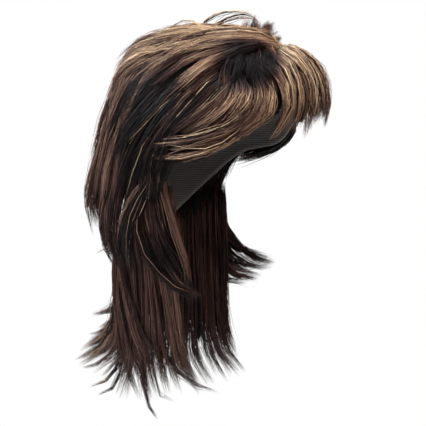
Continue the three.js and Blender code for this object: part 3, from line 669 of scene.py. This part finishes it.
def add_fibres(skin, row, guides, places, room, layer, short, clump=None, span=None, trim=None,
               share=FIBRE_SHARE):
    """Fine fibres in tresses that drift, gather to points and cross a little, all round the locks' form.

    A span gives each tress the shares of the guide where it leaves the hair below and where it ends. Share
    is how much of the row's fibres is made, which are wider where they are fewer."""
    tresses = len(places)
    fibres = max(int(row["fibres"] * share), LEAST_FIBRES)
    begin, finish = (np.zeros(tresses), np.ones(tresses)) if span is None else span
    paths, outward, across, own = tress_paths(row, guides, places, layer, short, span, trim)
    half_width = 0.5 * room * TRESS_OVERLAP * np.interp(own, ALONG, TRESS_WIDTH)
    half_thick = 0.5 * LOCK_THICKNESS * row["bulk"] * np.interp(own, ALONG, TRESS_THICKNESS)

    owner = np.repeat(np.arange(tresses), fibres)
    total = len(owner)
    end = 1.02 - RNG.beta(1, 5, total) * row["ragged"]
    start = RNG.beta(1, 14, total) * 0.2
    steps = np.linspace(0, 1, FIBRE_STEPS)[None]
    own = start[:, None] + (end - start)[:, None] * steps
    along = begin[owner][:, None] + (finish - begin)[owner][:, None] * own
    spot = np.clip(along * (TRESS_STEPS - 1), 0, TRESS_STEPS - 1.001)
    low = spot.astype(int)
    part = spot - low

    def read(values):
        first = values[owner[:, None], low]
        second = values[owner[:, None], low + 1]
        weight = part if values.ndim == 2 else part[..., None]
        return first + (second - first) * weight

    angle = RNG.uniform(-0.35, math.pi + 0.35, total)
    inner = RNG.random(total) < row["inner"]
    angle = np.where(inner, -angle, angle)
    radius = np.sqrt(RNG.uniform(0.3, 1, total))
    side = np.cos(angle) * radius
    lift = np.sin(angle) * radius
    stray = (RNG.random(total) < STRAY_SHARE) * RNG.uniform(0.4, 1, total)
    wave = RNG.uniform(0, FULL_TURN, (total, 1))
    beat = RNG.uniform(0.6, 2.0, (total, 1))
    wander = np.sin(beat * along * FULL_TURN + wave) * (0.25 + along)
    rise = np.cos(beat * along * 5.1 + wave * 1.7) * (0.25 + along)
    splay = RNG.normal(0, 1, (total, 1))
    widths = read(half_width)
    thicks = read(half_thick)
    sideways = side[:, None] * widths + wander * (1.0 + 2.5 * stray[:, None]) * MM
    sideways = sideways + splay * (1.1 + 5 * stray[:, None]) * MM * along ** 2
    height = lift[:, None] * thicks * np.where(lift > 0, 1, row["fill"])[:, None]
    height = height + stray[:, None] * 4 * MM * np.sin(along * 2.6) + rise * 0.5 * MM
    fuzz = RNG.normal(0, FIBRE_FUZZ, (2, total, FIBRE_STEPS))
    ways_out = read(outward)
    ways_across = read(across)
    centre = read(paths) + ways_across * (sideways + fuzz[0])[..., None]
    centre = centre + ways_out * (height + fuzz[1])[..., None]
    centre = clear_of_head(centre, FIBRE_GAP)
    lean = np.clip(side / np.maximum(np.abs(lift), 0.25), -2, 2)[:, None, None] * 0.7
    way = np.where(lift > 0, 1, -1)[:, None, None]
    facing = unit(ways_out * way + ways_across * lean)
    flat = unit(ways_across * way - ways_out * lean)
    taper = np.interp(steps, *FIBRE_TAPER)
    grow = 1 / math.sqrt(share)
    width = FIBRE_HALF_WIDTH * grow * RNG.uniform(0.7, 1.3, (total, 1)) * taper
    clump = np.arange(tresses) if clump is None else clump
    tones = fibre_tones(row, owner, clump, lift, along, centre, ways_out)
    # The map's v, raised where part of the painted root shade is left out.
    rooted = 1 - (1 - own) * (1 - (row["root"] if span is None else LAYER_ROOT))
    skin.add(centre, flat, facing, width, width, FIBRE_SECTION, tones, np.clip(rooted, 0, 1))


def dress_guides(skin, row):
    """The main tresses, side by side over the guides, which gather in clumps towards their tips."""
    guides = row["guides"]
    reach = len(guides) - 1
    tresses = row["tresses"]
    spacing = reach / tresses
    place = (np.arange(tresses) + 0.5) * spacing
    drift = RNG.normal(0, 1.0, (tresses, 1)) * DRIFT_SHARES * spacing
    clumps = CLUMPS_PER_LOCK * row["locks"]
    clump = np.clip((place / reach * clumps).astype(int), 0, clumps - 1)
    clump_place = (np.arange(clumps) + 0.5 + RNG.uniform(-0.3, 0.3, clumps)) * reach / clumps
    gather = GATHER_SHARES * row["gather"] / GATHER_SHARES[-1]
    gather = gather * RNG.uniform(0.6, 1, (tresses, 1))
    places = steady(place) + drift
    places = places + (clump_place[clump][:, None] - places) * gather
    places = np.clip(places, EDGE_PLACE, reach - EDGE_PLACE)
    shift = RNG.normal(0, row["stray"] * reach / clumps, clumps)[clump]
    places = np.clip(places + shift[:, None] * STRAY_SHARES, EDGE_PLACE, reach - EDGE_PLACE)
    short = RNG.beta(1.4, 3, clumps)[clump]
    lock = np.floor(place / reach * row["locks"])
    layer = ((lock * GOLDEN_SHARE) % 1 - 0.5) * LAYER_STEP + RNG.normal(0, 0.8 * MM, tresses)
    trim = np.interp(place, *zip(*row["trim"])) if row["trim"] else None
    room = tress_room(guides, steady(place), spacing, reach)
    add_fibres(skin, row, guides, places, room, layer, short, clump=clump, trim=trim)


def dress_layers(skin, row):
    """Shorter tresses on top, each of which covers a stretch of its guide."""
    guides = row["guides"]
    reach = len(guides) - 1
    count = row["layers"]
    place = RNG.permutation((np.arange(count) + 0.5) * reach / count)
    places = steady(place) + RNG.normal(0, 0.12, (count, 1)) * LAYER_SHARES
    begin = RNG.uniform(*LAYER_STARTS, count)
    finish = np.minimum(begin + RNG.uniform(*LAYER_LENGTHS, count), 1)
    places = np.clip(places, EDGE_PLACE, reach - EDGE_PLACE)
    room = tress_room(guides, steady(place), reach / count, reach) * LAYER_ROOM
    layer = RNG.normal(2.0, 0.8, count) * MM * min(row["rise"], 1)
    short = RNG.beta(1.4, 3, count) * 0.3
    thin = dict(row, fibres=LAYER_FIBRES)
    add_fibres(skin, thin, guides, places, room, layer, short, span=(begin, finish))


def dress_between(skin, row, first, second, start, stop, count):
    """Tresses between two guides, from the share start of the way between them to the share stop."""
    share = start + (stop - start) * (np.arange(count) + 0.5) / count
    places = steady(share) + RNG.normal(0, 0.09, (count, 1)) * BETWEEN_SHARES
    places = np.clip(places, 0.0, 1.0)
    room = tress_room([first, second], steady(share), (stop - start) / count, 1)
    layer = RNG.normal(0.8 * MM, 0.8 * MM, count)
    add_fibres(skin, row, [first, second], places, room, layer, RNG.beta(1.4, 3, count))


def dress(name, row, material):
    """One piece of hair, which takes the place of the solid with its name."""
    skin = Skin()
    add_bodies(skin, row)
    dress_guides(skin, row)
    if row["layers"]:
        dress_layers(skin, row)
    for fan in row["fans"]:
        dress_between(skin, row, *fan)
    for first, second, count in row["loose"]:
        dress_between(skin, row, first, second, 0.0, 1.0, count)
    for guide in row["extra"]:
        room = np.full((SINGLE_TRESSES, TRESS_STEPS), SINGLE_ROOM)
        layer = RNG.normal(0, 0.8 * MM, SINGLE_TRESSES)
        add_fibres(skin, row, [guide, guide], np.full((SINGLE_TRESSES, STATIONS), 0.5), room, layer,
                   np.zeros(SINGLE_TRESSES))
    for guide, half, count in WISPS.get(name, []):
        thin = dict(row, fibres=count, ragged=0.1, bulk=half / 6)
        room = np.full((1, TRESS_STEPS), half * MM)
        add_fibres(skin, thin, [guide, guide], np.full((1, STATIONS), 0.5), room, np.zeros(1), np.zeros(1),
                   share=max(FIBRE_SHARE, 0.5))
    piece = skin.build(name + "_hair", material)
    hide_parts(name)
    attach(piece, "root")
    return piece


def add_node(tree, kind, **values):
    node = tree.nodes.new(kind)
    for key, value in values.items():
        setattr(node, key, value)
    return node


def set_stops(ramp, stops):
    elements = ramp.color_ramp.elements
    while len(elements) < len(stops):
        elements.new(0.5)
    for element, (position, colour) in zip(elements, stops):
        element.position = position
        element.color = (*colour, 1)


def hair_material():
    """Glossy brown fibre, with painted shade at the roots. The map's u is the fibre's tone from dark to pale,
    and v runs from root to tip.
    """
    material = bpy.data.materials.new("hair_fibre")
    material.use_nodes = True
    tree = material.node_tree
    tree.nodes.clear()
    link = tree.links.new
    output = add_node(tree, "ShaderNodeOutputMaterial")
    shader = add_node(tree, "ShaderNodeBsdfPrincipled")
    link(shader.outputs["BSDF"], output.inputs["Surface"])
    shader.inputs["Specular IOR Level"].default_value = 0.05
    uv = add_node(tree, "ShaderNodeUVMap", uv_map="OFBake")
    split = add_node(tree, "ShaderNodeSeparateXYZ")
    link(uv.outputs["UV"], split.inputs["Vector"])
    stretch = add_node(tree, "ShaderNodeMapping")
    stretch.inputs["Scale"].default_value = (420, 2.2, 1)
    link(uv.outputs["UV"], stretch.inputs["Vector"])
    streak = add_node(tree, "ShaderNodeTexNoise")
    streak.inputs["Scale"].default_value = 1
    streak.inputs["Detail"].default_value = 3
    link(stretch.outputs["Vector"], streak.inputs["Vector"])
    nudge = add_node(tree, "ShaderNodeMath", operation="MULTIPLY_ADD")
    nudge.inputs[1].default_value = 0.16
    nudge.inputs[2].default_value = -0.08
    link(streak.outputs["Fac"], nudge.inputs[0])
    toned = add_node(tree, "ShaderNodeMath", operation="ADD", use_clamp=True)
    link(split.outputs["X"], toned.inputs[0])
    link(nudge.outputs["Value"], toned.inputs[1])
    ramp = add_node(tree, "ShaderNodeValToRGB")
    stops = [(0.0, (0.0015, 0.0011, 0.0014)), (0.2, (0.01, 0.005, 0.0046)), (0.4, (0.04, 0.0175, 0.014)),
             (0.6, (0.1, 0.05, 0.036)), (0.75, (0.2, 0.115, 0.071)), (0.9, (0.38, 0.24, 0.14)),
             (1.0, (0.52, 0.37, 0.25))]
    set_stops(ramp, stops)
    link(toned.outputs["Value"], ramp.inputs["Fac"])
    # Painted shade: fibres darken towards the root, where it lies under the hair.
    root = add_node(tree, "ShaderNodeMapRange")
    root.interpolation_type = "SMOOTHSTEP"
    root.inputs["From Min"].default_value = 0.12
    root.inputs["From Max"].default_value = 0.5
    root.inputs["To Min"].default_value = 0.08
    root.inputs["To Max"].default_value = 1.0
    link(split.outputs["Y"], root.inputs["Value"])
    shade = add_node(tree, "ShaderNodeMix", data_type="RGBA", blend_type="MULTIPLY")
    shade.inputs["Factor"].default_value = 1
    link(ramp.outputs["Color"], shade.inputs[6])
    link(root.outputs["Result"], shade.inputs[7])
    link(shade.outputs[2], shader.inputs["Base Color"])
    gloss = add_node(tree, "ShaderNodeValToRGB")
    set_stops(gloss, [(0.0, (0.95, 0.95, 0.95)), (0.03, (0.9, 0.9, 0.9)), (0.06, (0.46, 0.46, 0.46)),
                      (0.5, (0.38, 0.38, 0.38)), (1.0, (0.33, 0.33, 0.33))])
    link(split.outputs["X"], gloss.inputs["Fac"])
    link(gloss.outputs["Color"], shader.inputs["Roughness"])
    return material


def knit_material():
    material = bpy.data.materials.new("cap_knit")
    material.use_nodes = True
    tree = material.node_tree
    shader = tree.nodes["Principled BSDF"]
    shader.inputs["Roughness"].default_value = 0.85
    shader.inputs["Specular IOR Level"].default_value = 0.3
    link = tree.links.new
    place = add_node(tree, "ShaderNodeTexCoord")
    wave = add_node(tree, "ShaderNodeTexWave", wave_type="BANDS", bands_direction="Z")
    wave.inputs["Scale"].default_value = 160
    wave.inputs["Distortion"].default_value = 1.5
    link(place.outputs["Object"], wave.inputs["Vector"])
    mesh = add_node(tree, "ShaderNodeTexVoronoi")
    mesh.inputs["Scale"].default_value = 700
    link(place.outputs["Object"], mesh.inputs["Vector"])
    ramp = add_node(tree, "ShaderNodeValToRGB")
    ramp.color_ramp.elements[0].color = (0.008, 0.006, 0.005, 1)
    ramp.color_ramp.elements[1].color = (0.045, 0.032, 0.028, 1)
    link(wave.outputs["Fac"], ramp.inputs["Fac"])
    link(ramp.outputs["Color"], shader.inputs["Base Color"])
    bump = add_node(tree, "ShaderNodeBump")
    bump.inputs["Strength"].default_value = 0.5
    bump.inputs["Distance"].default_value = 0.0004
    link(mesh.outputs["Distance"], bump.inputs["Height"])
    link(bump.outputs["Normal"], shader.inputs["Normal"])
    return material


hair = hair_material()
for name, row in HAIR.items():
    dress(name, row, hair)


# The cap's rim, as in the solids: its height at each turn from the face, as a share of the half height.
CAP_RIM_TURNS = np.array([0, 45, 70, 90, 115, 145, 180])
CAP_RIM_UPS = np.array([0.6, 0.45, 0.08, 0.18, -0.25, -0.6, -0.72])
CAP_RIM_EASE = 14
CAP_COLUMNS = 180
CAP_ROWS = 52
CAP_OUTER_ROWS = 10
CAP_TOP = 0.998
WEFT_STEP = 12 * MM
WEFT_RELIEF = 1.1 * MM
BAND_WIDTH = 8 * MM
BAND_RELIEF = 0.7 * MM
BAND_RIB = 0.3


def rim_up(turns):
    """The rim's height share at each turn: the line through the table's rows, with its corners rounded."""
    offsets = np.linspace(-CAP_RIM_EASE, CAP_RIM_EASE, 9)
    around = np.abs((turns[:, None] + offsets + 180) % 360 - 180)
    return np.interp(around, CAP_RIM_TURNS, CAP_RIM_UPS).mean(axis=1)


def make_cap():
    """The cap as a closed shell: plain outside, with a band along the rim and rows of wefts inside."""
    turns = np.linspace(-180, 180, CAP_COLUMNS, endpoint=False)
    rim = np.arcsin(rim_up(turns))
    points = []

    def ring(share, inset):
        angle = rim + (math.pi / 2 - rim) * share
        half = HEAD_HALF - np.asarray(inset)[..., None]
        turn = np.radians(turns)
        level = np.cos(angle)
        shape = np.stack([level * np.sin(turn), -level * np.cos(turn), np.sin(angle)], axis=1)
        return HEAD_CENTRE + shape * half

    outer = np.linspace(0, CAP_TOP, CAP_OUTER_ROWS)
    inner = np.linspace(CAP_TOP, 0, CAP_ROWS)
    for share in outer:
        points.append(ring(share, np.zeros(CAP_COLUMNS)))
    for share in inner:
        plain = ring(share, np.full(CAP_COLUMNS, CAP_WALL))
        from_rim = plain[:, 2] - ring(0, np.full(CAP_COLUMNS, CAP_WALL))[:, 2]
        weft = np.maximum(np.cos(2 * math.pi * plain[:, 2] / WEFT_STEP), 0) ** 3 * WEFT_RELIEF
        ribs = 1 - BAND_RIB * (np.arange(CAP_COLUMNS) % 2)
        band = np.clip((BAND_WIDTH - from_rim) / MM, 0, 1) * BAND_RELIEF * ribs
        relief = np.where(from_rim < BAND_WIDTH + 2 * MM, band, weft) * (from_rim > 0.3 * MM)
        points.append(ring(share, CAP_WALL + relief))
    rows = len(points)
    points = np.concatenate(points)
    column = np.arange(CAP_COLUMNS)
    beside = (column + 1) % CAP_COLUMNS
    faces = []
    for row in range(rows - 1):
        low = row * CAP_COLUMNS
        high = low + CAP_COLUMNS
        faces.append(np.stack([low + column, low + beside, high + beside, high + column], axis=1))
    low = (rows - 1) * CAP_COLUMNS
    faces.append(np.stack([low + column, low + beside, beside, column], axis=1))
    faces = np.concatenate(faces)
    mesh = bpy.data.meshes.new("cap_shell")
    mesh.from_pydata(points.tolist(), [], faces.tolist())
    mesh.polygons.foreach_set("use_smooth", np.ones(len(faces), bool))
    layer = mesh.uv_layers.new(name="OFBake")
    row_of = np.arange(len(faces)) // CAP_COLUMNS
    column_of = np.arange(len(faces)) % CAP_COLUMNS
    corner_u = column_of[:, None] + np.array([0, 1, 1, 0])
    corner_v = row_of[:, None] + np.array([0, 0, 1, 1])
    layer.data.foreach_set("uv", np.stack([corner_u / CAP_COLUMNS, corner_v / rows], axis=-1).ravel())
    mesh.update(calc_edges=True)
    shell = link_object("cap_shell", mesh, knit_material())
    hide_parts("cap")
    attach(shell, "root")


make_cap()

# The stage: a pale floor below the tips, a white surround and soft lights.
FLOOR_UP = -345 * MM
FLOOR_RADIUS = 0.9
FLOOR_SIDES = 96
SURROUND_LIGHT = 0.045


def make_floor():
    rim = []
    for side in range(FLOOR_SIDES):
        angle = 2 * math.pi * side / FLOOR_SIDES
        rim.append((FLOOR_RADIUS * math.cos(angle), FLOOR_RADIUS * math.sin(angle), FLOOR_UP))
    mesh = bpy.data.meshes.new("floor")
    mesh.from_pydata(rim, [], [tuple(range(FLOOR_SIDES))])
    paint = bpy.data.materials.new("floor_paint")
    paint.use_nodes = True
    shader = paint.node_tree.nodes["Principled BSDF"]
    shader.inputs["Base Color"].default_value = (0.85, 0.85, 0.85, 1)
    shader.inputs["Roughness"].default_value = 1
    floor = link_object("floor", mesh, paint)


def make_surround():
    """White behind the wig, and a dim light from all round."""
    world = bpy.data.worlds.new("surround")
    world.use_nodes = True
    tree = world.node_tree
    backdrop = tree.nodes["Background"]
    backdrop.inputs["Color"].default_value = (1, 1, 1, 1)
    backdrop.inputs["Strength"].default_value = 1.0
    dim = add_node(tree, "ShaderNodeBackground")
    dim.inputs["Strength"].default_value = SURROUND_LIGHT
    seen = add_node(tree, "ShaderNodeLightPath")
    either = add_node(tree, "ShaderNodeMixShader")
    tree.links.new(seen.outputs["Is Camera Ray"], either.inputs["Fac"])
    tree.links.new(dim.outputs["Background"], either.inputs[1])
    tree.links.new(backdrop.outputs["Background"], either.inputs[2])
    tree.links.new(either.outputs["Shader"], tree.nodes["World Output"].inputs["Surface"])
    bpy.context.scene.world = world
    bpy.context.scene.view_settings.view_transform = "Standard"


make_floor()
make_surround()

CAMERA_AZIMUTH = -68
CAMERA_ELEVATION = 1.5
CAMERA_DISTANCE = 3.2
FRAME_WIDTH = 454 * MM
SENSOR_WIDTH = 36
VIEW_TURN = math.radians(90 + CAMERA_AZIMUTH)
VIEW_RIGHT = Vector((math.sin(VIEW_TURN), -math.cos(VIEW_TURN), 0))
AIM = VIEW_RIGHT * (-2.1 * MM) + Vector((0, 0, -20 * MM))


def direction_at(azimuth, elevation):
    """The way to a place round the wig, in degrees from the face, minus on its right, and up."""
    turn = math.radians(azimuth)
    rise = math.radians(elevation)
    return Vector((math.sin(turn) * math.cos(rise), -math.cos(turn) * math.cos(rise), math.sin(rise)))


def area_light(name, azimuth, elevation, distance, size, power, colour=(1, 1, 1)):
    data = bpy.data.lights.new(name, "AREA")
    data.color = colour
    data.size = size
    data.energy = power
    lamp = bpy.data.objects.new(name, data)
    lamp.location = direction_at(azimuth, elevation) * distance
    lamp.rotation_euler = (-lamp.location).to_track_quat("-Z", "Y").to_euler()
    bpy.context.scene.collection.objects.link(lamp)


area_light("top_light", -60, 82, 1.7, 0.45, 84, (0.82, 0.94, 1.0))
area_light("front_light", -10, 30, 1.8, 0.45, 40, (1.0, 0.95, 0.88))
area_light("side_light", -110, 30, 1.9, 0.6, 3)
area_light("rim_light", -150, 34, 1.9, 0.8, 165, (0.78, 0.92, 1.0))

camera_data = bpy.data.cameras.new("camera")
camera_data.sensor_width = SENSOR_WIDTH
camera_data.lens = SENSOR_WIDTH * CAMERA_DISTANCE / FRAME_WIDTH
camera = bpy.data.objects.new("camera", camera_data)
direction = direction_at(CAMERA_AZIMUTH, CAMERA_ELEVATION)
camera.location = AIM + direction * CAMERA_DISTANCE
camera.rotation_euler = (-direction).to_track_quat("-Z", "Y").to_euler()
bpy.context.scene.collection.objects.link(camera)
bpy.context.scene.camera = camera
